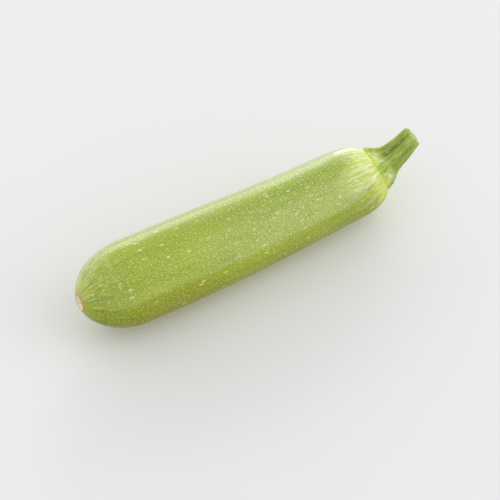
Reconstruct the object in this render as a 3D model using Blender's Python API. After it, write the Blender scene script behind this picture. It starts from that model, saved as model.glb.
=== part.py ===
"""A light green zucchini as picked: the fruit and what is left of its stalk.

Metres, +Z up. The fruit lies along X on its belly, with its blossom end towards -X and its stalk
towards +X. The origin is the middle of the flat spot that it rests on.
"""

import math

import bmesh
import bpy
from mathutils import Matrix, Vector

UP = Vector((0.0, 0.0, 1.0))

# The fruit, measured along its axis from the blossom scar.
FRUIT_LENGTH = 0.1815
BELLY_RADIUS = 0.0228
NECK_RADIUS = 0.01995
TAPER_START = 0.052
BLOSSOM_DOME = 0.0313
SHOULDER_DOME = 0.0270
SHOULDER_BLUNTNESS = 3.0

# How far each dome's outline would go past the end where the scar and the stalk cut it off.
SCAR_SLICE = 0.0007
SEAT_SLICE = 0.0049

# How it lies: a slight bow sideways, both ends a little off the ground, a flat spot below its weight.
REST_POINT = 0.0913
BOW = 0.0018
END_LIFT = 0.0026
FLAT_DEPTH = 0.0003

# The stalk's ridges run on over the fruit as ribs, with a fainter rib between each two.
RIDGE_COUNT = 5
RIDGE_ANGLE = math.radians(64.0)
FLANK_LOBE = 0.003
SEAT_LOBE = 0.062
FLANK_RIB = 0.003
END_RIB = 0.009
LOBE_REACH = 0.040
RIB_REACH = 0.030

# The blossom scar: a low rim round a shallow dish, with a nub at its middle.
SCAR_RIM_WIDTH = 0.0007
SCAR_RIM_HEIGHT = 0.0002
SCAR_DISH = 0.0004
SCAR_NUB_RADIUS = 0.0009
SCAR_NUB_HEIGHT = 0.00025

# The seat that the stalk stands on leans up from the fruit's axis.
SEAT_RISE = math.radians(20.0)
SEAT_YAW = math.radians(-4.5)
SEAT_LEAN_REACH = 0.040
SEAT_GAP = 0.0003

# The stalk, measured along its own axis from its foot. Angles round it start at the horizontal side
# away from -Y and turn upwards.
STALK_LENGTH = 0.0276
STALK_BEND = math.radians(20.5)
BEND_TOWARDS = math.radians(66.0)
RIDGE_NECK_RADIUS = 0.0091
RIDGE_CUT_RADIUS = 0.0061
RIDGE_FLARE = 0.0067
GROOVE_NECK_RADIUS = 0.0070
GROOVE_CUT_RADIUS = 0.0048
GROOVE_FLARE = 0.0053
CUT_SLANT = math.radians(12.0)
CUT_TOWARDS = math.radians(190.0)
CUT_REACH = 0.012

# Facets. The stalk's sections crowd towards its flared foot.
FRUIT_RINGS = 48
FRUIT_SIDES = 60
STALK_RINGS = 18
STALK_SIDES = 50
STALK_CROWDING = 1.3
CREASE_ANGLE = math.radians(40.0)


def smooth(t):
    """Rise from 0 to 1 with a level start and end."""
    t = min(max(t, 0.0), 1.0)
    return t * t * (3.0 - 2.0 * t)


def middle_radius(a):
    """Radius of the fruit between its two domes: full near the blossom end, slimmer at the neck."""
    taper = smooth((a - TAPER_START) / (FRUIT_LENGTH - TAPER_START))
    return BELLY_RADIUS + (NECK_RADIUS - BELLY_RADIUS) * taper


def girth(a):
    """Mean radius of the fruit: an elliptic dome, the tapered middle and a blunter shoulder."""
    into_dome = 1.0 - min((a + SCAR_SLICE) / BLOSSOM_DOME, 1.0)
    into_shoulder = max(a - FRUIT_LENGTH + SHOULDER_DOME, 0.0) / (SHOULDER_DOME + SEAT_SLICE)
    dome = math.sqrt(1.0 - into_dome ** 2)
    shoulder = math.sqrt(1.0 - into_shoulder ** SHOULDER_BLUNTNESS)
    return middle_radius(a) * dome * shoulder


def ribs(a, angle):
    """Share of the radius by which the ribs lift the skin."""
    near_seat = smooth((a - FRUIT_LENGTH + LOBE_REACH) / LOBE_REACH)
    near_end = 1.0 - smooth(min(a, FRUIT_LENGTH - a) / RIB_REACH)
    lobe = FLANK_LOBE + (SEAT_LOBE - FLANK_LOBE) * near_seat ** 2
    rib = FLANK_RIB + (END_RIB - FLANK_RIB) * near_end
    turn = RIDGE_COUNT * (angle - RIDGE_ANGLE)
    return lobe * math.cos(turn) + rib * math.cos(2.0 * turn)


def fruit_axis(a):
    """Point on the fruit's axis."""
    along = 2.0 * a / FRUIT_LENGTH - 1.0
    from_rest = a - REST_POINT
    lift = END_LIFT * (from_rest / REST_POINT) ** 2
    height = middle_radius(a) + lift - FLAT_DEPTH
    return Vector((from_rest, BOW * (along ** 2 - 1.0 / 3.0), height))


def seat_normal():
    """Direction in which the stalk leaves the fruit."""
    level = math.cos(SEAT_RISE)
    return Vector((level * math.cos(SEAT_YAW), level * math.sin(SEAT_YAW), math.sin(SEAT_RISE)))


def fruit_frame(a):
    """Side, top and forward directions of the fruit's section; the last ones lean into the seat."""
    step = 0.0001
    forward = (fruit_axis(a + step) - fruit_axis(a - step)).normalized()
    lean = smooth((a - FRUIT_LENGTH + SEAT_LEAN_REACH) / SEAT_LEAN_REACH)
    forward = forward.slerp(seat_normal(), lean)
    side = UP.cross(forward).normalized()
    return side, forward.cross(side), forward


def ring(centre, side, top, sides, radius):
    """Points round a centre, with the radius given as a function of the angle."""
    points = []
    for i in range(sides):
        angle = RIDGE_ANGLE + math.tau * i / sides
        reach = radius(angle)
        points.append(centre + reach * (math.cos(angle) * side + math.sin(angle) * top))
    return points


def fruit_section(a):
    """One section of the fruit's skin, pressed flat where it would dip below the ground."""
    side, top, _ = fruit_frame(a)
    mean = girth(a)
    points = ring(fruit_axis(a), side, top, FRUIT_SIDES, lambda angle: mean * (1.0 + ribs(a, angle)))
    return [Vector((p.x, p.y, max(p.z, 0.0))) for p in points]


def scar_sections():
    """Sections of the blossom scar, from its nub out to the skin."""
    side, top, forward = fruit_frame(0.0)
    centre = fruit_axis(0.0)
    outer = girth(0.0)
    inner = outer - SCAR_RIM_WIDTH
    steps = [(radius, SCAR_DISH * ((radius / inner) ** 2 - 1.0))
             for radius in (SCAR_NUB_RADIUS, inner / 2.0, inner)]
    steps.append((outer - SCAR_RIM_WIDTH / 2.0, SCAR_RIM_HEIGHT))
    return [ring(centre - height * forward, side, top, FRUIT_SIDES, lambda angle: radius)
            for radius, height in steps]


def stalk_line(s, foot, neck, cut, flare):
    """Radius of one line up the stalk: a flared foot on a slow taper from neck to cut."""
    taper = neck + (cut - neck) * s / STALK_LENGTH
    return taper + (foot - neck) * math.exp(-(s / flare) ** 2)


def stalk_section(s):
    """One section of the stalk in its own frame: Z runs up from the foot, X is the side."""
    seat = girth(FRUIT_LENGTH)
    ridge_foot = seat * (1.0 + SEAT_LOBE)
    groove_foot = seat * (1.0 - SEAT_LOBE)
    ridge = stalk_line(s, ridge_foot, RIDGE_NECK_RADIUS, RIDGE_CUT_RADIUS, RIDGE_FLARE)
    groove = stalk_line(s, groove_foot, GROOVE_NECK_RADIUS, GROOVE_CUT_RADIUS, GROOVE_FLARE)

    def radius(angle):
        crest = 0.5 + 0.5 * math.cos(RIDGE_COUNT * (angle - RIDGE_ANGLE))
        return groove + (ridge - groove) * crest

    bend_radius = STALK_LENGTH / STALK_BEND
    bent = s / bend_radius
    towards = Vector((math.cos(BEND_TOWARDS), math.sin(BEND_TOWARDS), 0.0))
    centre = bend_radius * ((1.0 - math.cos(bent)) * towards + math.sin(bent) * UP)
    slant = CUT_SLANT * smooth((s - STALK_LENGTH + CUT_REACH) / CUT_REACH)
    cut_towards = Vector((math.cos(CUT_TOWARDS), math.sin(CUT_TOWARDS), 0.0))
    turned = Matrix.Rotation(bent, 3, UP.cross(towards)) @ Matrix.Rotation(slant, 3, UP.cross(cut_towards))
    return ring(centre, turned.col[0], turned.col[1], STALK_SIDES, radius)


def principled(name, colour, roughness):
    """A material with one colour."""
    material = bpy.data.materials.new(name)
    material.use_nodes = True
    shader = material.node_tree.nodes["Principled BSDF"]
    shader.inputs["Base Color"].default_value = (*colour, 1.0)
    shader.inputs["Roughness"].default_value = roughness
    shader.inputs["Metallic"].default_value = 0.0
    material.diffuse_color = (*colour, 1.0)
    return material


def lofted(name, sections, start_point, material):
    """A closed solid through sections of equal count: a fan to start_point, or a flat face, starts it."""
    bm = bmesh.new()
    rings = [[bm.verts.new(point) for point in section] for section in sections]
    sides = len(rings[0])
    for near, far in zip(rings, rings[1:]):
        for i in range(sides):
            j = (i + 1) % sides
            bm.faces.new((near[i], near[j], far[j], far[i]))
    if start_point is None:
        bm.faces.new(reversed(rings[0]))
    else:
        apex = bm.verts.new(start_point)
        for i in range(sides):
            bm.faces.new((rings[0][(i + 1) % sides], rings[0][i], apex))
    bm.faces.new(rings[-1])
    mesh = bpy.data.meshes.new(name)
    bm.to_mesh(mesh)
    bm.free()
    mesh.materials.append(material)
    mesh.shade_smooth()
    mesh.set_sharp_from_angle(angle=CREASE_ANGLE)
    solid = bpy.data.objects.new(name, mesh)
    bpy.context.collection.objects.link(solid)
    return solid


def make_fruit():
    """Skin and flesh in one piece, with the scar where the flower was and a flat seat for the stalk."""
    turns = [math.pi * i / FRUIT_RINGS for i in range(FRUIT_RINGS + 1)]
    stations = [FRUIT_LENGTH * (1.0 - math.cos(turn)) / 2.0 for turn in turns]
    sections = scar_sections() + [fruit_section(a) for a in stations]
    forward = fruit_frame(0.0)[2]
    nub = fruit_axis(0.0) + (SCAR_DISH - SCAR_NUB_HEIGHT) * forward
    return lofted("fruit", sections, nub, principled("zucchini skin", (0.40, 0.50, 0.11), 0.35))


def make_stalk(fruit):
    """The stalk as it was cut, standing on the fruit's seat."""
    heights = [STALK_LENGTH * (i / STALK_RINGS) ** STALK_CROWDING for i in range(STALK_RINGS + 1)]
    sections = [stalk_section(s) for s in heights]
    stalk = lofted("stem", sections, None, principled("zucchini stalk", (0.26, 0.34, 0.07), 0.5))
    side, top, forward = fruit_frame(FRUIT_LENGTH)
    foot = fruit_axis(FRUIT_LENGTH) + SEAT_GAP * forward
    turned = Matrix((side, top, forward)).transposed()
    stalk.parent = fruit
    stalk.location = foot
    stalk.rotation_euler = turned.to_euler()
    return stalk


for old in list(bpy.data.objects):
    bpy.data.objects.remove(old, do_unlink=True)
make_stalk(make_fruit())
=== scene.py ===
"""The look of a light green zucchini: its fine skin and stalk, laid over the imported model.

Lengths are in metres, but the places that meshes keep for their materials are in millimetres.
"""

import math
from types import SimpleNamespace

import bpy
from mathutils import Matrix, Vector


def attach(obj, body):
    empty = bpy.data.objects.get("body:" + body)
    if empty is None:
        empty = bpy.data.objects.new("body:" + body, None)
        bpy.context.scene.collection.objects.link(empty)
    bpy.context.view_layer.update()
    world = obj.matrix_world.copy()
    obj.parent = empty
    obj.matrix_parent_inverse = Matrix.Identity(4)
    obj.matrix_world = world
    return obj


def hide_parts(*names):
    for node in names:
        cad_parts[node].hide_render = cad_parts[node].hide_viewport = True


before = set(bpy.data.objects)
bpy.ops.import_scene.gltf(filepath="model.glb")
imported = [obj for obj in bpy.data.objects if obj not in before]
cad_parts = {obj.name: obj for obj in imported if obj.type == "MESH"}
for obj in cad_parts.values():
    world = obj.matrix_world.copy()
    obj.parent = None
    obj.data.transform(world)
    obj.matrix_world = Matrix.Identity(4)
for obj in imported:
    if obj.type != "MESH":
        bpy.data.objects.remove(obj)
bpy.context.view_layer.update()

# The camera. It looks down on the lying fruit from over its blossom end, so that the fruit runs up and
# away to the right, and stands far enough off for little perspective.
CAMERA_TURN = math.radians(-31.5)
CAMERA_RISE = math.radians(50.4)
CAMERA_DISTANCE = 0.902
CAMERA_LENS = 120.0
CAMERA_TARGET = Vector((0.0117, 0.0034, -0.0003))

camera_back = Vector((
    math.sin(CAMERA_TURN) * math.cos(CAMERA_RISE),
    -math.cos(CAMERA_TURN) * math.cos(CAMERA_RISE),
    math.sin(CAMERA_RISE),
))
camera = bpy.data.objects.new("camera", bpy.data.cameras.new("camera"))
camera.data.lens = CAMERA_LENS
camera.location = CAMERA_TARGET + CAMERA_DISTANCE * camera_back
camera.rotation_euler = camera_back.to_track_quat("Z", "Y").to_euler()
bpy.context.collection.objects.link(camera)
bpy.context.scene.camera = camera

# The fruit: skin and flesh grown in one piece, from the corky scar where the flower dropped off to the
# seat of the stalk. Its sections are rounds on a slightly bowed axis, lifted by five ribs that come down
# from the stalk's ridges and five fainter ones between them, and pressed flat where it rests.
FRUIT_SIZES = {
    "Length": 0.1815,
    "Belly radius": 0.0228,
    "Neck radius": 0.01995,
    "Taper start": 0.052,
    "Blossom dome": 0.0313,
    "Shoulder dome": 0.0270,
    "Shoulder bluntness": 3.0,
    "Scar slice": 0.0007,
    "Seat slice": 0.0049,
    "Rest point": 0.0913,
    "Bow": 0.0018,
    "End lift": 0.0026,
    "Flat depth": 0.0003,
    "Ridge angle": math.radians(64.0),
    "Flank lobe": 0.003,
    "Seat lobe": 0.062,
    "Flank rib": 0.003,
    "End rib": 0.009,
    "Lobe reach": 0.040,
    "Rib reach": 0.030,
    "Seat rise": math.radians(20.0),
    "Seat yaw": math.radians(-4.5),
    "Lean reach": 0.040,
    "Scar rim width": 0.0007,
    "Scar rim height": 0.00022,
    "Scar dish": 0.0004,
    "Scar nub radius": 0.0009,
    "Scar nub height": 0.00025,
    "Waviness": 0.00008,
    "Pleats": 0.00006,
    "Pucker depth": 0.0004,
    "Pucker reach": 0.009,
    "Puckers round": 3.2,
    "Ring crowding": 0.85,
    "Scar rings": 16,
    "Skin rings": 300,
    "Seat rings": 4,
    "Sides": 240,
}
RIDGE_COUNT = 5
MILLIMETRES = 1000.0
MERGE_DISTANCE = 0.000001

# Streaks and flecks are laid out on the skin as if its radius were the first of these all along, in
# millimetres. Patches and pores are laid out at the mean of its own radius and the second, in metres.
STREAK_RADIUS = 20.0
PATCH_RADIUS = 0.022

# How far from an end marks begin to be drawn out, and how closely they are counted at the end itself.
END_REACH = 0.030
END_DENSITY = 0.42


class Term:
    """A value inside a node tree. Arithmetic on terms that are numbers adds the matching Math nodes."""

    def __init__(self, socket):
        self.socket = socket
        self.tree = socket.id_data

    def __add__(self, other):
        return maths("ADD", self, other)

    def __radd__(self, other):
        return maths("ADD", other, self)

    def __sub__(self, other):
        return maths("SUBTRACT", self, other)

    def __rsub__(self, other):
        return maths("SUBTRACT", other, self)

    def __mul__(self, other):
        return maths("MULTIPLY", self, other)

    def __rmul__(self, other):
        return maths("MULTIPLY", other, self)

    def __truediv__(self, other):
        return maths("DIVIDE", self, other)

    def __pow__(self, power):
        return maths("POWER", self, power)


def feed(node, values):
    """Gives inputs of a node, by name or number, fixed values, or links terms to them."""
    for key, value in values.items():
        if isinstance(value, Term):
            value.tree.links.new(value.socket, node.inputs[key])
        else:
            node.inputs[key].default_value = value


def new_node(tree, kind, values=(), **settings):
    """A node with its settings and its inputs, which are named or come in their own order."""
    node = tree.nodes.new(kind)
    for name, value in settings.items():
        setattr(node, name, value)
    feed(node, values if isinstance(values, dict) else dict(enumerate(values)))
    return node


def made(tree, kind, values=(), output=0, **settings):
    """The term of one output of a new node."""
    return Term(new_node(tree, kind, values, **settings).outputs[output])


def tree_of(values):
    """The node tree of the first term among some values."""
    return next(value.tree for value in values if isinstance(value, Term))


def maths(operation, *values):
    """A Math node on numbers, of which at least one is a term."""
    return made(tree_of(values), "ShaderNodeMath", values, operation=operation)


def ramp(value, start, end, low=0.0, high=1.0, kind="SMOOTHSTEP"):
    """Goes from low to high while value goes from start to end, and stays there."""
    values = (value, start, end, low, high)
    return made(value.tree, "ShaderNodeMapRange", values, interpolation_type=kind)


def bell(value, width):
    """1 at zero, falling off smoothly within about the width."""
    widths = value / width
    return maths("EXPONENT", widths * widths * -1.0)


def vector(x, y, z):
    """A vector term of three numbers."""
    values = (x, y, z)
    return made(tree_of(values), "ShaderNodeCombineXYZ", values)


def split(place):
    """The three numbers of a vector term."""
    return [Term(output) for output in new_node(place.tree, "ShaderNodeSeparateXYZ", (place,)).outputs]


def moved(place, by):
    """The sum of two vector terms."""
    return made(place.tree, "ShaderNodeVectorMath", (place, by), operation="ADD")


def drawn_out(place, share):
    """A vector term with its first number made smaller, which draws marks out along the piece."""
    return made(place.tree, "ShaderNodeVectorMath", (place, (share, 1.0, 1.0)), operation="MULTIPLY")


def noise(place, scale, detail):
    """Soft random values round 0.5."""
    return made(place.tree, "ShaderNodeTexNoise", {"Vector": place, "Scale": scale, "Detail": detail})


def new_recipe(name, sizes):
    """An empty Geometry Nodes tree with one named input for each size."""
    tree = bpy.data.node_groups.new(name, "GeometryNodeTree")
    tree.interface.new_socket(name="Geometry", in_out="INPUT", socket_type="NodeSocketGeometry")
    for size_name, size in sizes.items():
        kind = "NodeSocketInt" if isinstance(size, int) else "NodeSocketFloat"
        tree.interface.new_socket(name=size_name, in_out="INPUT", socket_type=kind)
    tree.interface.new_socket(name="Geometry", in_out="OUTPUT", socket_type="NodeSocketGeometry")
    entry = tree.nodes.new("NodeGroupInput")
    inputs = {size_name: Term(entry.outputs[size_name]) for size_name in ("Geometry", *sizes)}
    return tree, inputs


def ring_grid(tree, rings, sides):
    """A sheet to be rolled up: its mesh, the ring number of each point and its turn from 0 to 1."""
    sheet = made(tree, "GeometryNodeMeshGrid", (1.0, 1.0, rings, sides + 1))
    x, y, _ = split(made(tree, "GeometryNodeInputPosition"))
    return sheet, (x + 0.5) * (rings - 1.0), y + 0.5


def finished(geometry, material):
    """The last steps of a recipe: seams and poles closed, smooth, copies made real, its material."""
    tree = geometry.tree
    closed = made(tree, "GeometryNodeMergeByDistance", {"Geometry": geometry, "Distance": MERGE_DISTANCE})
    smooth = made(tree, "GeometryNodeSetShadeSmooth", {"Geometry": closed})
    real = made(tree, "GeometryNodeRealizeInstances", {"Geometry": smooth})
    dressed = made(tree, "GeometryNodeSetMaterial", {"Geometry": real, "Material": material})
    new_node(tree, "NodeGroupOutput", (dressed,))


def rolled_up(sheet, place, vectors, numbers, material):
    """The last steps of a sheet's recipe: named terms are kept on its points for the material to read,
    and the points go to their places."""
    for kind, terms in (("FLOAT_VECTOR", vectors), ("FLOAT", numbers)):
        for name, term in terms.items():
            sheet = made(
                sheet.tree,
                "GeometryNodeStoreNamedAttribute",
                {"Geometry": sheet, "Name": name, "Value": term},
                data_type=kind,
                domain="POINT",
            )
    placed = made(sheet.tree, "GeometryNodeSetPosition", {"Geometry": sheet, "Position": place})
    finished(placed, material)


def grown(name, mesh, tree, sizes):
    """A piece made by running a recipe with its sizes on a mesh, and left as a plain mesh."""
    piece = bpy.data.objects.new(name, mesh)
    bpy.context.collection.objects.link(piece)
    modifier = piece.modifiers.new("recipe", "NODES")
    modifier.node_group = tree
    for item in tree.interface.items_tree:
        if item.in_out == "INPUT" and item.name in sizes:
            modifier[item.identifier] = sizes[item.name]
    depsgraph = bpy.context.evaluated_depsgraph_get()
    evaluated = piece.evaluated_get(depsgraph)
    plain = bpy.data.meshes.new_from_object(
        evaluated,
        preserve_all_data_layers=True,
        depsgraph=depsgraph,
    )
    piece.modifiers.clear()
    piece.data = plain
    plain.name = name
    return piece


def fruit_middle(a, size):
    """Radius of the fruit between its domes, at the way a along it from the scar."""
    taper = ramp(a, size["Taper start"], size["Length"])
    return size["Belly radius"] + (size["Neck radius"] - size["Belly radius"]) * taper


def fruit_height(a, size):
    """Height of the fruit's axis."""
    lift = ((a - size["Rest point"]) / size["Rest point"]) ** 2.0
    return fruit_middle(a, size) + size["End lift"] * lift - size["Flat depth"]


def fruit_girth(a, size):
    """Mean radius of the fruit: an elliptic dome, the tapered middle and a blunter shoulder."""
    into_dome = 1.0 - maths("MINIMUM", (a + size["Scar slice"]) / size["Blossom dome"], 1.0)
    past_neck = maths("MAXIMUM", a - size["Length"] + size["Shoulder dome"], 0.0)
    into_shoulder = past_neck / (size["Shoulder dome"] + size["Seat slice"])
    dome = maths("SQRT", 1.0 - into_dome ** 2.0)
    shoulder = maths("SQRT", 1.0 - into_shoulder ** size["Shoulder bluntness"])
    return fruit_middle(a, size) * dome * shoulder


def fruit_lean(a, size):
    """Rise and yaw of the fruit's sections, which lean into the seat at the stalk's end."""
    step = 0.0001
    slope = (fruit_height(a + step, size) - fruit_height(a - step, size)) / (2.0 * step)
    bowing = size["Bow"] * (2.0 * a / size["Length"] - 1.0) * 4.0 / size["Length"]
    lean = ramp(a, size["Length"] - size["Lean reach"], size["Length"])
    rise = maths("ARCTANGENT", slope)
    yaw = maths("ARCTANGENT", bowing)
    return rise + (size["Seat rise"] - rise) * lean, yaw + (size["Seat yaw"] - yaw) * lean


def scar_face(radius, size):
    """Height of the scar's face: a low rim round a shallow dish, with a nub at its middle."""
    below_dome = 1.0 - size["Scar slice"] / size["Blossom dome"]
    edge = size["Belly radius"] * maths("SQRT", 1.0 - below_dome ** 2.0)
    inner = edge - size["Scar rim width"]
    dish = ramp(radius, 0.0, inner, kind="LINEAR") ** 2.0 - 1.0
    rim = maths("SINE", ramp(radius, inner, edge, high=math.pi, kind="LINEAR"))
    nub = bell(radius, size["Scar nub radius"]) * size["Scar nub height"]
    return dish * size["Scar dish"] + rim * size["Scar rim height"] + nub


def fruit_place(a, across, upward, inset, size):
    """Where a point of a section lies, from its ways across, up and inward along the fruit."""
    rise, yaw = fruit_lean(a, size)
    bow = size["Bow"] * ((2.0 * a / size["Length"] - 1.0) ** 2.0 - 1.0 / 3.0)
    forward = inset * maths("COSINE", rise) - upward * maths("SINE", rise)
    x = a - size["Rest point"] + forward * maths("COSINE", yaw) - across * maths("SINE", yaw)
    y = bow + forward * maths("SINE", yaw) + across * maths("COSINE", yaw)
    z = fruit_height(a, size) + upward * maths("COSINE", rise) + inset * maths("SINE", rise)
    return vector(x, y, maths("MAXIMUM", z, 0.0))


def stretched(a, length):
    """Way along the skin in millimetres, counted more slowly towards both ends, so that marks laid out
    by it are drawn out into streaks there, where the skin has grown longer than wide."""
    def lost(to_end):
        near = maths("MINIMUM", to_end, END_REACH)
        return (near - near * near / (2.0 * END_REACH)) * (1.0 - END_DENSITY)
    return (a - lost(a) + lost(length - a)) * MILLIMETRES


def fruit_recipe(material):
    """A sheet rolled up from the middle of the scar over the skin to the middle of the seat. The way a
    along the fruit's axis starts at the scar."""
    tree, size = new_recipe("fruit", FRUIT_SIZES)
    length = size["Length"]
    skin_end = size["Scar rings"] + size["Skin rings"]
    rings = skin_end + size["Seat rings"] + 1.0
    sheet, ring, turn = ring_grid(tree, rings, size["Sides"])
    on_scar = ramp(ring, 0.0, size["Scar rings"], kind="LINEAR")
    on_skin = ramp(ring, size["Scar rings"], skin_end, kind="LINEAR")
    on_seat = ramp(ring, skin_end, rings - 1.0, kind="LINEAR")
    crowded = (1.0 - maths("COSINE", on_skin * math.pi)) * 0.5
    a = length * (on_skin + (crowded - on_skin) * size["Ring crowding"])
    angle = -math.pi / 2.0 - turn * math.tau
    across = maths("COSINE", angle)
    upward = maths("SINE", angle)

    near_seat = ramp(a, length - size["Lobe reach"], length)
    near_end = 1.0 - ramp(maths("MINIMUM", a, length - a), 0.0, size["Rib reach"])
    lobe = size["Flank lobe"] + (size["Seat lobe"] - size["Flank lobe"]) * near_seat ** 2.0
    rib = size["Flank rib"] + (size["End rib"] - size["Flank rib"]) * near_end
    rib_turn = (angle - size["Ridge angle"]) * float(RIDGE_COUNT)
    ribs = maths("COSINE", rib_turn)
    fine_ribs = maths("COSINE", rib_turn * 2.0)
    smooth_radius = fruit_girth(a, size) * on_scar

    along = stretched(a, length)
    around = maths("SQRT", smooth_radius * PATCH_RADIUS) * MILLIMETRES
    skin_map = vector(along, across * around, upward * around)
    skin_sheet = vector(along, turn * (math.tau * STREAK_RADIUS), a * MILLIMETRES)
    lengthwise = vector(a * MILLIMETRES, across * STREAK_RADIUS, upward * STREAK_RADIUS)
    waves = (noise(skin_map, scale=0.045, detail=1.0) - 0.5) * size["Waviness"] * 2.0
    pleating = noise(drawn_out(lengthwise, 0.03), scale=0.35, detail=1.0) - 0.5
    pleats = pleating * size["Pleats"] * (0.6 + near_end)
    gathered = bell(a, size["Pucker reach"])
    round_scar = vector(across * size["Puckers round"], upward * size["Puckers round"], 0.0)
    folds = noise(round_scar, scale=1.0, detail=1.0) - 0.5
    puckers = folds * gathered * size["Pucker depth"] * 2.0
    relief = (waves + pleats + puckers) * maths("GREATER_THAN", on_skin, 0.0)
    grown_radius = smooth_radius * (1.0 + lobe * ribs + rib * fine_ribs) + relief
    radius = grown_radius * (1.0 - on_seat)

    inset = scar_face(radius, size) * maths("LESS_THAN", on_scar, 1.0) * -1.0
    place = fruit_place(a, across * radius, upward * radius, inset, size)
    vectors = {
        "skin_map": skin_map,
        "skin_place": vector(a * MILLIMETRES, radius * MILLIMETRES, ribs),
        "skin_lengthwise": lengthwise,
        "skin_sheet": skin_sheet,
    }
    rolled_up(sheet, place, vectors, {"skin_folds": folds * gathered}, material)
    return tree


def screen_colour(red, green, blue):
    """Linear colour of an 8-bit colour as a screen shows it."""
    def linear(level):
        share = level / 255.0
        return share / 12.92 if share <= 0.04045 else ((share + 0.055) / 1.055) ** 2.4
    return (linear(red), linear(green), linear(blue), 1.0)


# The colours of the skin and of the scar's cork.
SKIN = SimpleNamespace(
    green=screen_colour(156, 176, 38),
    deep_green=screen_colour(124, 156, 20),
    furrow_green=screen_colour(104, 142, 24),
    light_green=screen_colour(170, 190, 50),
    # Painted shade for the underside.
    underside_shade_colour=screen_colour(142, 140, 42),
    # Painted sheen for the far side of the shoulder.
    painted_sheen=screen_colour(190, 212, 166),
    lime=screen_colour(198, 218, 54),
    lime_pale=screen_colour(203, 221, 74),
    seat_yellow=screen_colour(228, 246, 62),
    seat_pale=screen_colour(200, 216, 78),
    seat_streak=screen_colour(242, 246, 204),
    fleck_yellow=screen_colour(225, 231, 110),
    fleck_pale=screen_colour(230, 236, 164),
    dash=screen_colour(236, 239, 176),
    scar_streak=screen_colour(228, 232, 158),
    scar_halo=screen_colour(188, 166, 56),
    seam=screen_colour(220, 232, 84),
    cork=screen_colour(255, 246, 200),
    cork_grain=screen_colour(238, 218, 162),
    cork_rim=screen_colour(206, 138, 48),
    cork_nub=screen_colour(192, 150, 92),
)

# How far red, green and blue light spread in the flesh, beside each other.
FLESH_SPREAD = (1.0, 1.2, 0.3)

# Where the darker lines run, in millimetres round the sheet that the streaks are laid out on. The
# lines in the two hollows are painted shade.
SCAR_FURROW = 46.5
SHOULDER_HOLLOW = 42.7
LOW_HOLLOW = 31.2
TOP_BAND = 61.8


def new_material(name):
    """A material, its node tree and its shader."""
    material = bpy.data.materials.new(name)
    material.use_nodes = True
    return material, material.node_tree, material.node_tree.nodes["Principled BSDF"]


def attribute(tree, name, output="Vector"):
    """What a recipe has kept on the points of its mesh under a name."""
    return made(tree, "ShaderNodeAttribute", output=output, attribute_name=name)


def blended(share, first, second):
    """A colour between two colours, by the colour sockets of a Mix node."""
    return made(share.tree, "ShaderNodeMix", {0: share, 6: first, 7: second}, 2, data_type="RGBA")


def flecks(place, cell, core, edge, bare):
    """Soft dots of uneven strength, one to a cell of the given size, with a share of the cells bare."""
    values = {"Vector": place, "Scale": 1.0 / cell, "Randomness": 0.9}
    cells = new_node(place.tree, "ShaderNodeTexVoronoi", values, voronoi_dimensions="2D")
    drawn, _, _ = split(Term(cells.outputs["Color"]))
    dot = ramp(Term(cells.outputs["Distance"]), core, edge, 1.0, 0.0)
    full = min(bare + 0.4, 1.0)
    return dot * ramp(drawn, bare, full, kind="LINEAR")


def bumped(height, distance, strength):
    """A bump from a height between 0 and 1."""
    values = {"Height": height, "Distance": distance, "Strength": strength}
    return made(height.tree, "ShaderNodeBump", values)


def skin_places(tree):
    """Where on the skin a point is, and the marks that several layers share. along and to_seat are the
    ways to the two ends, across and upward tell the side of the fruit, and turned is the way round it."""
    sheet = attribute(tree, "skin_sheet")
    lengthwise = attribute(tree, "skin_lengthwise")
    along, radius, rib = split(attribute(tree, "skin_place"))
    _, across, upward = split(lengthwise)
    _, turned, _ = split(sheet)
    to_seat = FRUIT_SIZES["Length"] * MILLIMETRES - along
    # The shoulder's two hollows, which get painted shade.
    hollows = maths("MAXIMUM", bell(turned - SHOULDER_HOLLOW, 1.8), bell(turned - LOW_HOLLOW, 2.0))
    return SimpleNamespace(
        patches=attribute(tree, "skin_map"),
        sheet=sheet,
        lengthwise=lengthwise,
        along=along,
        to_seat=to_seat,
        radius=radius,
        rib=rib,
        across=across,
        upward=upward,
        turned=turned,
        folds=attribute(tree, "skin_folds", output="Fac"),
        sunny=ramp(across, 2.0, -12.0) * ramp(upward, 5.0, 15.0),
        pleating=noise(drawn_out(sheet, 0.2), scale=0.8, detail=2.0),
        hollows=hollows * ramp(to_seat, 50.0, 26.0) * ramp(to_seat, 4.0, 10.0),
    )


def skin_ground(at):
    """Uneven green, deeper bands, a painted sheen on the far shoulder and painted olive shade below."""
    patches = noise(drawn_out(at.patches, 0.4), scale=0.07, detail=3.0)
    bands = noise(drawn_out(at.lengthwise, 0.12), scale=0.30, detail=3.0)
    # Painted sheen: pale on the far side of the shoulder.
    painted_sheen_share = ramp(at.to_seat, 75.0, 20.0, high=0.4) * ramp(at.across, 0.0, 8.0)
    # Painted shade: olive over the underside of the scar's half.
    underside_shade = ramp(at.upward, 12.0, 3.0) * ramp(at.along, 12.0, 26.0) * ramp(at.along, 80.0, 56.0)
    colour = blended(ramp(patches, 0.30, 0.70, high=0.7), SKIN.green, SKIN.light_green)
    colour = blended(ramp(bands, 0.48, 0.70, high=0.45), colour, SKIN.deep_green)
    # Painted sheen over the far side of the shoulder.
    colour = blended(painted_sheen_share, colour, SKIN.painted_sheen)
    # Painted shade: olive on the underside.
    return blended(underside_shade * 0.4, colour, SKIN.underside_shade_colour)


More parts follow.
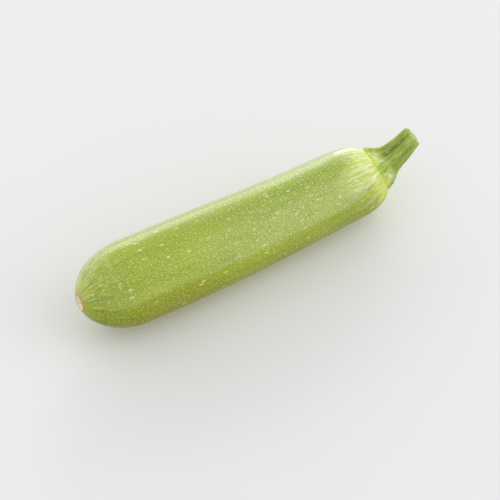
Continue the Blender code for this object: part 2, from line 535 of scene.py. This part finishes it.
def skin_ends(at, colour):
    """Lime over the shoulders and at the scar, and yellow at the seat, paler on the upper, far side."""
    limed = ramp(at.to_seat, 17.0 + 23.0 * at.sunny, 3.0 + 5.0 * at.sunny)
    lime = blended(at.sunny, SKIN.lime, SKIN.lime_pale)
    yellow_patches = noise(at.patches, scale=0.08, detail=1.0)
    yellowed = ramp(at.to_seat, 12.0, 2.0) * ramp(yellow_patches, 0.4, 0.6, 0.4, 0.9)
    yellowed = maths("MAXIMUM", yellowed, ramp(at.to_seat, 2.0, 0.6, high=0.7))
    paler = maths("MAXIMUM", ramp(at.upward, 7.0, 15.0), ramp(at.across, -2.0, 8.0, high=0.7))
    yellow = blended(paler, SKIN.seat_yellow, SKIN.seat_pale)
    colour = blended(limed * ramp(at.rib, 0.9, -0.5, 0.6, 1.0), colour, lime)
    colour = blended(yellowed, colour, yellow)
    return blended(ramp(at.along, 7.0, 0.5, high=0.5), colour, SKIN.lime)


def skin_greens_and_shade(at, colour):
    """Deeper green along the top and in scar furrows, painted shade in shoulder hollows and scar folds.
    """
    top_band = bell(at.turned - TOP_BAND, 2.6) * ramp(at.along, 50.0, 85.0)
    top_band = top_band * ramp(at.to_seat, 16.0, 34.0)
    furrows = noise(drawn_out(at.lengthwise, 0.03), scale=0.30, detail=1.0)
    furrow = ramp(maths("ABSOLUTE", furrows - 0.5), 0.035, 0.0) * ramp(at.upward, 14.0, 6.0, low=0.1)
    # Painted shade: deeper green in two of the shoulder's hollows.
    colour = blended(at.hollows * 0.48, colour, SKIN.deep_green)
    colour = blended(top_band * 0.42, colour, SKIN.deep_green)
    colour = blended(furrow * ramp(at.along, 26.0, 4.0, high=0.85), colour, SKIN.furrow_green)
    # Painted shade: deeper green where the folds at the scar sink in.
    return blended(ramp(at.folds, -0.02, -0.12, high=0.6), colour, SKIN.deep_green)


def skin_flecks(at, colour):
    """A dust of fine flecks, coarser grains among them, and dashes here and there."""
    ruffle = noise(at.sheet, scale=1.3, detail=1.0) - 0.5
    strewn = moved(at.sheet, vector(ruffle * 0.6, ruffle * -0.6, 0.0))
    dust = flecks(drawn_out(strewn, 0.8), cell=0.84, core=0.04, edge=0.42, bare=-0.15)
    grains = flecks(drawn_out(strewn, 0.7), cell=2.0, core=0.06, edge=0.21, bare=0.3)
    specks = maths("MAXIMUM", dust * ramp(ruffle, -0.2, 0.2, 0.55, 0.85), grains * 0.9)
    fleck = blended(ramp(at.along, 30.0, 130.0), SKIN.fleck_yellow, SKIN.fleck_pale)
    dashes = flecks(drawn_out(at.sheet, 0.32), cell=4.0, core=0.07, edge=0.13, bare=0.42)
    colour = blended(specks, colour, fleck)
    return blended(dashes * ramp(at.pleating, 0.35, 0.6, 0.5, 0.95), colour, SKIN.dash)


def skin_streaks(at, colour):
    """Pale strokes and lines that gather at both ends, a furrow into the scar, and faint lines below."""
    lines = noise(drawn_out(at.lengthwise, 0.03), scale=0.75, detail=1.0)
    seat_way = vector(at.along * 0.18, at.turned, 0.0)
    seat_strokes = flecks(seat_way, cell=1.7, core=0.10, edge=0.32, bare=-0.1)
    near_seat = ramp(at.to_seat, 25.0 + 15.0 * at.sunny, 3.0)
    seat_streaks = maths("MAXIMUM", seat_strokes, ramp(lines, 0.53, 0.58, high=0.6)) * near_seat
    # Pale streaks are fainter under the painted shade of the hollows.
    seat_streaks = seat_streaks * (1.0 - at.hollows * 0.5)
    colour = blended(seat_streaks * 0.95, colour, SKIN.seat_streak)

    scar_way = vector(at.along * 0.24, at.turned, 0.0)
    scar_strokes = flecks(scar_way, cell=1.45, core=0.10, edge=0.27, bare=0.1)
    above = ramp(at.upward, 12.0, 17.0)
    scar_lines = ramp(lines, 0.54, 0.60, high=0.35) * above
    scar_streaks = maths("MAXIMUM", scar_strokes * (0.4 + 0.6 * above), scar_lines)
    colour = blended(scar_streaks * ramp(at.along, 28.0, 4.0), colour, SKIN.scar_streak)

    furrow = bell(at.turned - SCAR_FURROW, 1.2) * ramp(at.along, 22.0, 5.0) * ramp(at.pleating, 0.3, 0.5)
    flank_lines = ramp(lines, 0.50, 0.62) * ramp(at.to_seat, 55.0, 20.0, high=0.25)
    colour = blended(furrow * 0.6, colour, SKIN.furrow_green)
    return blended(flank_lines * ramp(at.upward, 4.0, 0.0), colour, SKIN.dash)


def skin_edges(at, colour, on_scar):
    """The yellow seam round the seat, the brown one round the scar, and the scar's pale, grained cork."""
    colour = blended(ramp(at.to_seat, 1.1, 0.4, high=0.6), colour, SKIN.seam)
    colour = blended(ramp(at.along, 1.3, 0.2, high=0.55), colour, SKIN.scar_halo)
    grain = noise(at.patches, scale=1.1, detail=3.0)
    cork = blended(ramp(grain, 0.35, 0.75), SKIN.cork, SKIN.cork_grain)
    cork = blended(ramp(at.radius, 3.8, 4.5), cork, SKIN.cork_rim)
    cork = blended(ramp(at.radius, 1.2, 0.4), cork, SKIN.cork_nub)
    return blended(on_scar, colour, cork)


def skin_material():
    """Satin, waxy light green skin: fine pale flecks all over, larger pale dashes here and there, pale
    streaks that gather towards both ends, yellower skin round the stalk, and a corky scar."""
    material, tree, shader = new_material("zucchini_skin")
    at = skin_places(tree)
    on_scar = ramp(at.along, 0.07, 0.0, kind="LINEAR")
    pores = noise(at.patches, scale=0.9, detail=2.0)
    colour = skin_greens_and_shade(at, skin_ends(at, skin_ground(at)))
    colour = skin_streaks(at, skin_flecks(at, colour))
    feed(shader, {
        "Base Color": skin_edges(at, colour, on_scar),
        "Roughness": ramp(pores, 0.2, 0.8, 0.13, 0.19, "LINEAR") + on_scar * 0.35,
        "Normal": bumped(pores, distance=0.00006, strength=0.15),
        "Subsurface Weight": 0.08,
        "Subsurface Radius": FLESH_SPREAD,
        "Subsurface Scale": 0.003,
        "Coat Weight": 0.6,
        "Coat Roughness": 0.12,
    })
    return material


fruit_mesh = bpy.data.meshes.new("fruit_sheet")
fruit = grown("fruit_skin", fruit_mesh, fruit_recipe(skin_material()), FRUIT_SIZES)
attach(fruit, "root")
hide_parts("fruit")

# The stalk: a green, fibrous stump with five ridges, grown in one piece out of the fruit's seat. Its
# foot flares out to the skin, it bends a little upwards, and its end is the slanted face of a knife cut.
SEAT_RADIUS = 0.01252
STRAND_RADIUS = 8.0
STALK_SIZES = {
    "Length": 0.0276,
    "Root": 0.0014,
    "Root tuck": 0.05,
    "Bend": math.radians(20.5),
    "Bend towards": math.radians(66.0),
    "Ridge angle": FRUIT_SIZES["Ridge angle"],
    "Ridge foot": SEAT_RADIUS * (1.0 + FRUIT_SIZES["Seat lobe"]),
    "Ridge neck": 0.0091,
    "Ridge cut": 0.0061,
    "Ridge flare": 0.0067,
    "Groove foot": SEAT_RADIUS * (1.0 - FRUIT_SIZES["Seat lobe"]),
    "Groove neck": 0.0070,
    "Groove cut": 0.0048,
    "Groove flare": 0.0053,
    "Ridge sharpness": 1.2,
    "Deep groove": 0.0006,
    "Deep groove turn": 0.9,
    "Deep groove width": 0.032,
    "Deep groove start": 0.002,
    "Deep groove full": 0.011,
    "Foot lip": 0.00022,
    "Foot lip width": 0.0012,
    "Knuckles": 0.0005,
    "Knuckle place": 0.0045,
    "Knuckle width": 0.0028,
    "Knuckle sharpness": 4.0,
    "Strands": 0.00034,
    "Warts": 0.35,
    "Cut slant": math.radians(12.0),
    "Cut towards": math.radians(190.0),
    "Cut reach": 0.012,
    "Cut edge": 0.0011,
    "Cut dish": 0.0006,
    "Cut sponge": 0.0006,
    "Side rings": 150,
    "Edge rings": 6,
    "Cut rings": 24,
    "Sides": 250,
}


def turned_about(place, axis_angle, angle):
    """A point turned so that up leans towards a direction in the level plane."""
    axis = vector(-1.0 * maths("SINE", axis_angle), maths("COSINE", axis_angle), 0.0)
    values = {"Vector": place, "Axis": axis, "Angle": angle}
    return made(place.tree, "ShaderNodeVectorRotate", values, rotation_type="AXIS_ANGLE")


def stalk_line(s, line, size):
    """Radius of a ridge or a groove: a flared foot on a slow taper up to the cut."""
    foot, neck, cut = (size[f"{line} {place}"] for place in ("foot", "neck", "cut"))
    taper = neck + (cut - neck) * s / size["Length"]
    return taper + (foot - neck) * bell(s, size[f"{line} flare"])


def stalk_place(s, section, size):
    """Where a point of a section lies: it leans with the bend, and slants more and more to the cut."""
    bent = s / size["Length"] * size["Bend"]
    bend_radius = size["Length"] / size["Bend"]
    outward = bend_radius * (1.0 - maths("COSINE", bent))
    slant_end = size["Length"] - size["Cut edge"]
    slant = size["Cut slant"] * ramp(s, size["Length"] - size["Cut reach"], slant_end)
    slanted = turned_about(section, size["Cut towards"], slant)
    leaned = turned_about(slanted, size["Bend towards"], bent)
    centre = vector(
        outward * maths("COSINE", size["Bend towards"]),
        outward * maths("SINE", size["Bend towards"]),
        bend_radius * maths("SINE", bent),
    )
    return moved(centre, leaned)


def stalk_recipe(material):
    """A sheet rolled up from the root in the fruit over the stalk's side and its rounded edge, and in
    to the middle of the cut. The way s along the stalk starts at the fruit's skin."""
    tree, size = new_recipe("stalk", STALK_SIZES)
    edge_end = size["Side rings"] + size["Edge rings"]
    rings = edge_end + size["Cut rings"] + 1.0
    sheet, ring, turn = ring_grid(tree, rings, size["Sides"])
    on_side = ramp(ring, 0.0, size["Side rings"], kind="LINEAR")
    on_edge = ramp(ring, size["Side rings"], edge_end, high=math.pi / 2.0, kind="LINEAR")
    on_cut = ramp(ring, edge_end, rings - 1.0, kind="LINEAR")
    s = on_side * (size["Length"] + size["Root"] - size["Cut edge"]) - size["Root"]
    angle = size["Ridge angle"] - turn * math.tau
    across = maths("COSINE", angle)
    upward = maths("SINE", angle)

    crest = 0.5 + 0.5 * maths("COSINE", turn * (math.tau * RIDGE_COUNT))
    sharp_crest = crest ** size["Ridge sharpness"]
    groove = stalk_line(s, "Groove", size)
    plain_radius = groove + (stalk_line(s, "Ridge", size) - groove) * sharp_crest
    tucked = 1.0 - size["Root tuck"] * ramp(s, 0.0, -1.0 * size["Root"])
    stalk_map = vector(s * MILLIMETRES, across * STRAND_RADIUS, upward * STRAND_RADIUS)
    strands = noise(drawn_out(stalk_map, 0.07), scale=0.55, detail=2.0) - 0.5
    warts = (noise(stalk_map, scale=1.1, detail=2.0) - 0.5) * size["Warts"]
    lip = bell(s, size["Foot lip width"]) * size["Foot lip"]
    knuckle = crest ** size["Knuckle sharpness"] * bell(s - size["Knuckle place"], size["Knuckle width"])
    deep_along = ramp(s, size["Deep groove start"], size["Deep groove full"])
    deep = bell(turn - size["Deep groove turn"], size["Deep groove width"]) * deep_along
    relief = (strands + warts) * size["Strands"] - deep * size["Deep groove"]
    side_radius = plain_radius * tucked + (lip + knuckle * size["Knuckles"]) + relief
    rounded = side_radius - size["Cut edge"] * (1.0 - maths("COSINE", on_edge))
    radius = rounded * (1.0 - on_cut)

    sponge = noise(vector(across * radius, upward * radius, 0.0), scale=900.0, detail=3.0) - 0.5
    dish = (1.0 - (1.0 - on_cut) ** 3.0) * size["Cut dish"]
    height = size["Cut edge"] * maths("SINE", on_edge) - dish + sponge * on_cut * size["Cut sponge"]
    place = stalk_place(s, vector(across * radius, upward * radius, height), size)
    vectors = {"stalk_map": stalk_map, "stalk_place": vector(s * MILLIMETRES, crest, on_cut)}
    rolled_up(sheet, place, vectors, {"stalk_deep": deep}, material)
    return tree


def stalk_material():
    """Green, fibrous stalk: darkened by painted shade in its grooves, streaked with fine pale strands,
    pale in the hollows of its foot, yellow where it meets the skin, and pale and spongy where it was cut."""
    green = screen_colour(156, 180, 64)
    # Green of the painted shade in the grooves, and of the fine dark strands.
    dark_strand_and_shade_green = screen_colour(106, 134, 28)
    crest_green = screen_colour(160, 200, 56)
    strand = screen_colour(206, 218, 138)
    hollow = screen_colour(240, 246, 176)
    hollow_green = screen_colour(196, 216, 96)
    seam = screen_colour(224, 234, 96)
    cut_band = screen_colour(200, 216, 96)
    cut_pale = screen_colour(184, 198, 112)
    cut_grain = screen_colour(160, 176, 98)

    material, tree, shader = new_material("zucchini_stalk")
    stalk_map = attribute(tree, "stalk_map")
    s, crest, on_cut = split(attribute(tree, "stalk_place"))
    deep = attribute(tree, "stalk_deep", output="Fac")
    cut_end = STALK_SIZES["Length"] * MILLIMETRES
    shade = noise(drawn_out(stalk_map, 0.25), scale=0.4, detail=2.0)
    fine = noise(drawn_out(stalk_map, 0.12), scale=1.9, detail=2.0)
    fuzz = noise(drawn_out(stalk_map, 0.3), scale=2.0, detail=2.0)
    grain = noise(stalk_map, scale=1.4, detail=3.0)

    # Painted shade: darker green in the grooves, most of all in the one deep groove.
    painted_groove_shade = maths("MAXIMUM", ramp(crest + (shade - 0.5) * 0.8, 0.5, 0.05, high=0.35), deep)
    crested = ramp(crest, 0.75, 1.0, high=0.7) * ramp(s, 12.0, 4.0, low=0.25)
    colour = blended(painted_groove_shade * ramp(s, 3.0, 9.0, low=0.1), green, dark_strand_and_shade_green)
    colour = blended(crested, colour, crest_green)
    colour = blended(ramp(s, cut_end - 6.0, cut_end - 1.0, high=0.45), colour, cut_band)
    colour = blended(ramp(fine, 0.44, 0.32, high=0.6) * ramp(s, 4.0, 9.0), colour, dark_strand_and_shade_green)
    colour = blended(ramp(fine, 0.53, 0.63, high=0.65), colour, strand)

    low_hollow = ramp(s, 9.0, 3.0) * ramp(crest, 0.85, 0.4)
    seamed = ramp(s, 2.4, 0.6) * ramp(crest, 0.95, 0.6, 0.25, 0.85) * ramp(fuzz, 0.35, 0.6, low=0.7)
    colour = blended(low_hollow * 0.6, colour, hollow_green)
    colour = blended(low_hollow * ramp(fuzz, 0.42, 0.56), colour, hollow)
    colour = blended(seamed, colour, seam)
    cut_face = blended(ramp(grain, 0.35, 0.7), cut_pale, cut_grain)
    feed(shader, {
        "Base Color": blended(ramp(on_cut, 0.0, 0.06), colour, cut_face),
        "Roughness": ramp(fine, 0.3, 0.7, 0.42, 0.62, "LINEAR"),
        "Normal": bumped(fine, distance=0.00015, strength=0.5),
        "Subsurface Weight": 0.1,
        "Subsurface Radius": FLESH_SPREAD,
        "Subsurface Scale": 0.002,
    })
    return material


def stalk_seat():
    """Where the stalk stands: the middle and the lean of the fruit's last section."""
    size = FRUIT_SIZES
    past_rest = size["Length"] - size["Rest point"]
    lift = size["End lift"] * (past_rest / size["Rest point"]) ** 2
    foot = Vector((past_rest, size["Bow"] * 2.0 / 3.0, size["Neck radius"] + lift - size["Flat depth"]))
    rise, yaw = size["Seat rise"], size["Seat yaw"]
    level = Vector((math.cos(yaw), math.sin(yaw), 0.0))
    forward = level * math.cos(rise) + Vector((0.0, 0.0, math.sin(rise)))
    side = Vector((-math.sin(yaw), math.cos(yaw), 0.0))
    turned = Matrix((side, forward.cross(side), forward)).transposed().to_4x4()
    return Matrix.Translation(foot) @ turned


stalk_mesh = bpy.data.meshes.new("stalk_sheet")
stalk = grown("stalk_stump", stalk_mesh, stalk_recipe(stalk_material()), STALK_SIZES)
stalk.data.transform(stalk_seat())
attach(stalk, "root")
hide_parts("stem")

# The bristles: short, stiff pale hairs all over the stalk, thickest at its foot. Each is a thin spike
# that grows straight out of the stalk's skin. Places along the stalk are in millimetres here.
BRISTLE_SIZES = {
    "Bristles in a square metre": 1800000.0,
    "First place": 0.3,
    "Thinning start": 4.0,
    "Thinning end": 16.0,
    "Share left": 0.45,
    "Seed": 7,
    "Length": 0.0007,
    "Thickness": 0.00007,
    "Shortest": 0.35,
    "Longest": 1.1,
}


def bristle_recipe(material):
    """Spikes stood on points that are strewn over the stalk's side."""
    tree, size = new_recipe("bristles", BRISTLE_SIZES)
    place_kept = made(
        tree,
        "GeometryNodeInputNamedAttribute",
        {"Name": "stalk_place"},
        output="Attribute",
        data_type="FLOAT_VECTOR",
    )
    s, _, on_cut = split(place_kept)
    below = maths("LESS_THAN", s, size["First place"])
    bare = maths("MAXIMUM", maths("GREATER_THAN", on_cut, 0.0), below)
    thinned = ramp(s, size["Thinning start"], size["Thinning end"], 1.0, size["Share left"])
    spread = new_node(tree, "GeometryNodeDistributePointsOnFaces", {
        "Mesh": size["Geometry"],
        "Selection": 1.0 - bare,
        "Density": size["Bristles in a square metre"] * thinned,
        "Seed": size["Seed"],
    })
    spike = made(tree, "GeometryNodeMeshCone", {
        "Vertices": 3,
        "Radius Bottom": size["Thickness"],
        "Depth": size["Length"],
    })
    # Inputs 2 and 3 are the ends of the range of plain numbers.
    limits = {2: size["Shortest"], 3: size["Longest"], "Seed": size["Seed"]}
    growth = made(tree, "FunctionNodeRandomValue", limits, 1, data_type="FLOAT")
    copies = made(tree, "GeometryNodeInstanceOnPoints", {
        "Points": Term(spread.outputs["Points"]),
        "Instance": spike,
        "Rotation": Term(spread.outputs["Rotation"]),
        "Scale": vector(1.0, 1.0, growth),
    })
    finished(copies, material)
    return tree


def bristle_material():
    """Pale, dry hair."""
    pale = screen_colour(216, 226, 150)
    greener = screen_colour(160, 182, 82)
    material, tree, shader = new_material("stalk_bristle")
    shade = noise(made(tree, "ShaderNodeTexCoord", output="Object"), scale=900.0, detail=1.0)
    feed(shader, {"Base Color": blended(ramp(shade, 0.3, 0.7), pale, greener), "Roughness": 0.6})
    return material


bristles = grown("stalk_bristles", stalk.data.copy(), bristle_recipe(bristle_material()), BRISTLE_SIZES)
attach(bristles, "root")

# The floor and the light. The pale floor is only seen: it casts no shade, and no reflection or bounced
# light comes from it. All light comes from the world, a pale room with a window at the right front and
# a tall panel behind, whose reflection is the long highlight on the fruit.
FLOOR_SIDE = 200.0


def grey(level):
    """A colour without a hue."""
    return (level, level, level, 1.0)


floor_mesh = bpy.data.meshes.new("floor")
half = FLOOR_SIDE / 2.0
corners = [(-half, -half, 0.0), (half, -half, 0.0), (half, half, 0.0), (-half, half, 0.0)]
floor_mesh.from_pydata(corners, [], [(0, 1, 2, 3)])
floor = bpy.data.objects.new("floor", floor_mesh)
bpy.context.collection.objects.link(floor)
floor_material, _, floor_shader = new_material("pale_floor")
feed(floor_shader, {"Base Color": grey(0.92), "Roughness": 0.7})
floor_mesh.materials.append(floor_material)
floor.visible_diffuse = False
floor.visible_glossy = False
floor.visible_shadow = False

# The light of the room's parts.
ROOM = SimpleNamespace(
    low_wall=grey(0.83),
    high_wall=grey(0.70),
    window=grey(1.7),
    dim_panel=grey(2.35),
    bright_panel=grey(4.6),
    near_ground=(0.28, 0.23, 0.19, 1.0),
    far_ground=grey(0.92),
)

# The dimmer upright gap in the panel: how far to the side it is, how wide, and how much it takes away.
PANEL_GAP = 0.402
PANEL_GAP_WIDTH = 0.024
PANEL_GAP_SHARE = 0.4


def room_light(tree):
    """Light of the room by its direction, with side to +X and depth to +Y, away from the camera: the
    walls, the window, the panel with a dimmer gap in it, and a ground that is dark near by, pale far."""
    side, depth, height = split(made(tree, "ShaderNodeTexCoord", output="Generated"))
    walls = blended(ramp(height, 0.0, 0.5), ROOM.low_wall, ROOM.high_wall)
    walls = blended(ramp(side, 0.25, 0.55) * ramp(depth, 0.1, -0.3), walls, ROOM.window)
    panel = ramp(height, 0.50, 0.44) * ramp(side, -0.95, 0.25) * ramp(depth, 0.25, 0.55)
    panel_gap = 1.0 - bell(side - PANEL_GAP, PANEL_GAP_WIDTH) * PANEL_GAP_SHARE
    panel_share = panel * panel_gap * ramp(side, 0.80, 0.60, low=0.3)
    panel_light = blended(ramp(side, 0.39, 0.54), ROOM.dim_panel, ROOM.bright_panel)
    walls = blended(panel_share, walls, panel_light)
    far = ramp(depth, -0.2, 0.6) * ramp(height, -1.3, -0.3)
    ground = blended(far, ROOM.near_ground, ROOM.far_ground)
    raised = height + ramp(depth, 0.3, -0.3) * 0.18
    return blended(ramp(raised, 0.08, -0.12), walls, ground)


world = bpy.data.worlds.new("studio")
world.use_nodes = True
feed(world.node_tree.nodes["Background"], {"Color": room_light(world.node_tree)})
bpy.context.scene.world = world
bpy.context.scene.view_settings.view_transform = "Standard"
